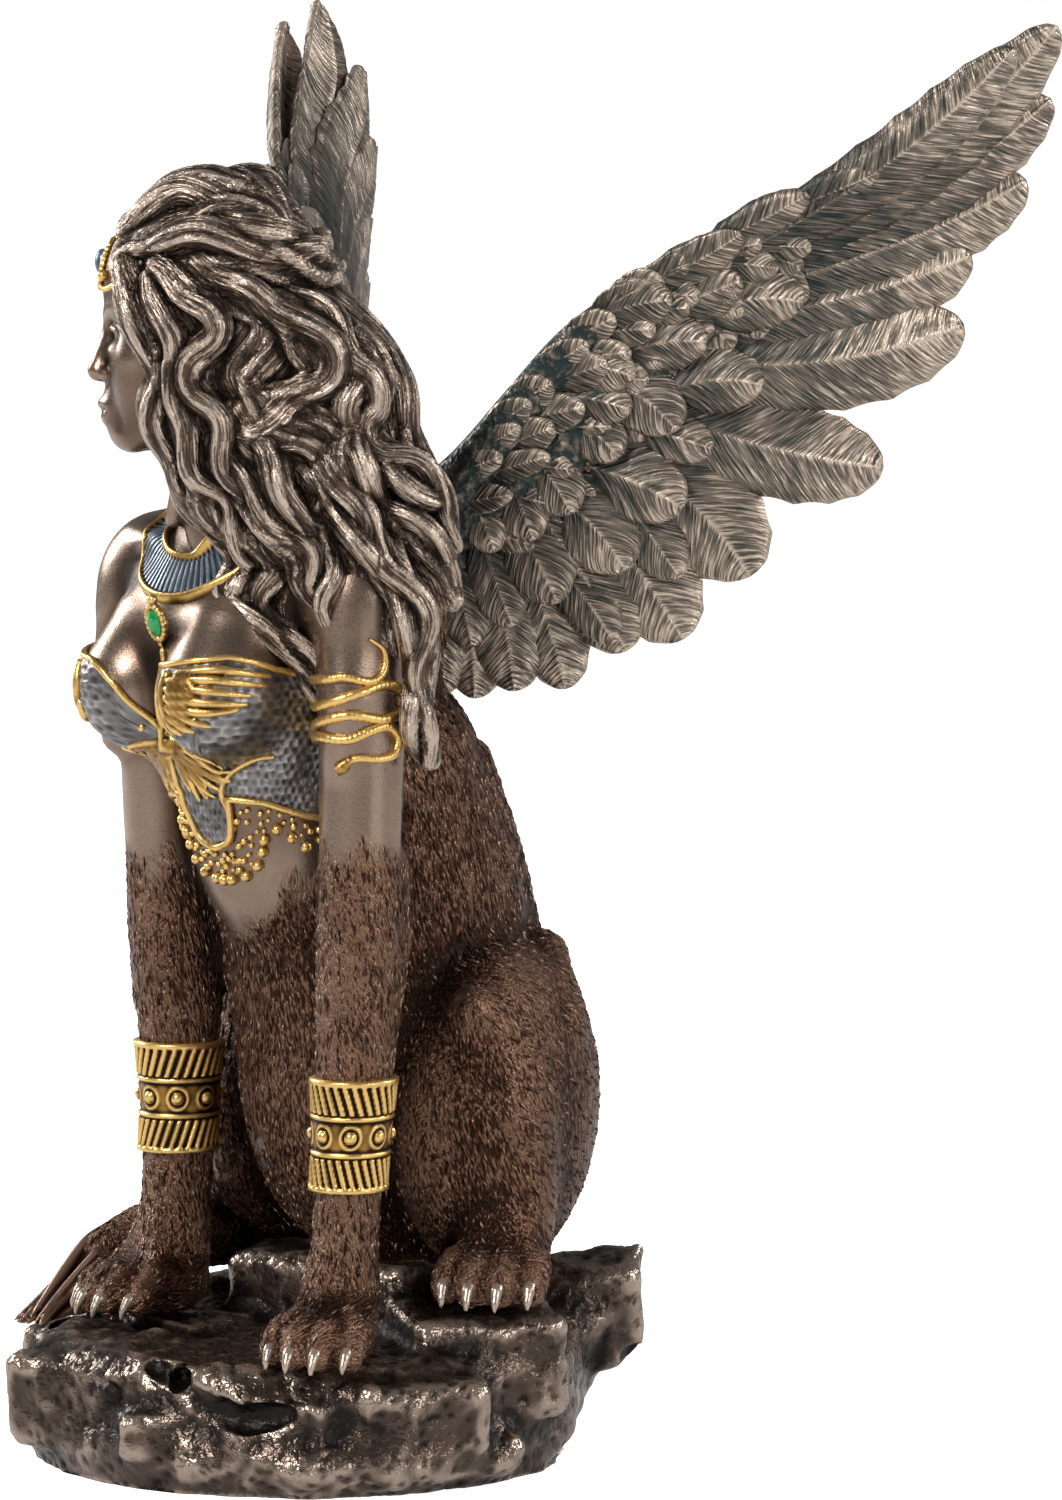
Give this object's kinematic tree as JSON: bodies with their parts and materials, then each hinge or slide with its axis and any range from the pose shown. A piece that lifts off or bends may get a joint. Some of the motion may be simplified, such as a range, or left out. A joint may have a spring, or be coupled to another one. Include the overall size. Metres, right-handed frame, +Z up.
{
  "type": "sphinx statue",
  "caption": "Tabletop figurine of a seated winged sphinx, a woman's head and bust on a lion's body, cast in one piece with the rock it sits on.",
  "frame": {"origin": "centre of the flat underside of the rock, below the figure", "axes": "+Z up, the figure's chest and forelegs face -Y, its left side is +X"},
  "size_m": [0.1757, 0.1379, 0.2421],
  "materials": {
    "aged_bronze": "satin bronze powder casting, rubbed bright on the ridges",
    "red_bronze_fur": "dark red-brown bronze with pale strokes on the fur",
    "verdigris_bronze": "pale bronze with blue-green patina in the hollows",
    "dark_rock": "glossy dark brown with rubbed pale edges",
    "gold_paint": "metallic gold paint, dark in the grooves",
    "silver_paint": "hammered silver-grey metallic paint",
    "blue_enamel": "dull blue-grey enamel paint",
    "green_stone": "glossy green paint"
  },
  "bodies": {
    "root": {"sphinx_statue": "aged_bronze"}
  },
  "joints": []
}
